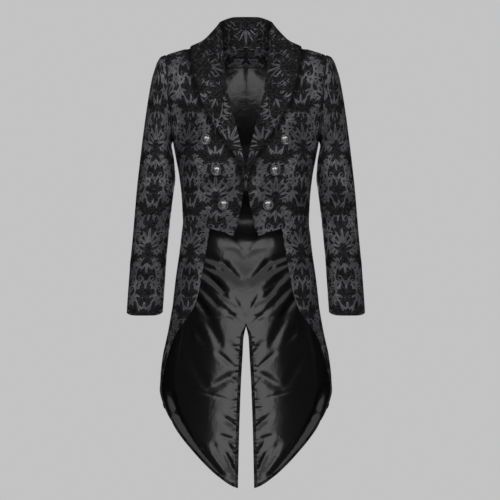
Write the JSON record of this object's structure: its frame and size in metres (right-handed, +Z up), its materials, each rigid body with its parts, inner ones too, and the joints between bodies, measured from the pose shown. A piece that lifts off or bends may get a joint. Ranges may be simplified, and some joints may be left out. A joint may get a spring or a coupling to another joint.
{
  "type": "redingote",
  "caption": "Hollow cutaway tailcoat redingote in damask, worn form without wearer, with lapels, buttons and satin-lined tails.",
  "frame": {"origin": "at the neck point height on the centre plane, between the shoulders that carry the coat", "axes": "+X to the viewer's right seen from the front, +Z up, the front faces -Y"},
  "size_m": [0.6054, 0.2765, 1.2396],
  "materials": {
    "damask": "black damask brocade",
    "satin": "black satin lining",
    "tape": "plain woven tape",
    "antique_silver": "antique silver, worn"
  },
  "bodies": {
    "root": {"back_left": "damask", "back_lining_left": "satin", "back_lining_right": "satin", "back_right": "damask", "button_lower_left": "antique_silver", "button_lower_right": "antique_silver", "button_middle_left": "antique_silver", "button_middle_right": "antique_silver", "button_upper_left": "antique_silver", "button_upper_right": "antique_silver", "collar": "damask", "front_left": "damask", "front_right": "damask", "label": "tape", "lapel_left": "damask", "lapel_right": "damask", "neck_facing_left": "damask", "neck_facing_right": "damask", "skirt_left": "damask", "skirt_lining_left": "satin", "skirt_lining_right": "satin", "skirt_right": "damask", "sleeve_left": "damask", "sleeve_right": "damask"}
  },
  "joints": []
}
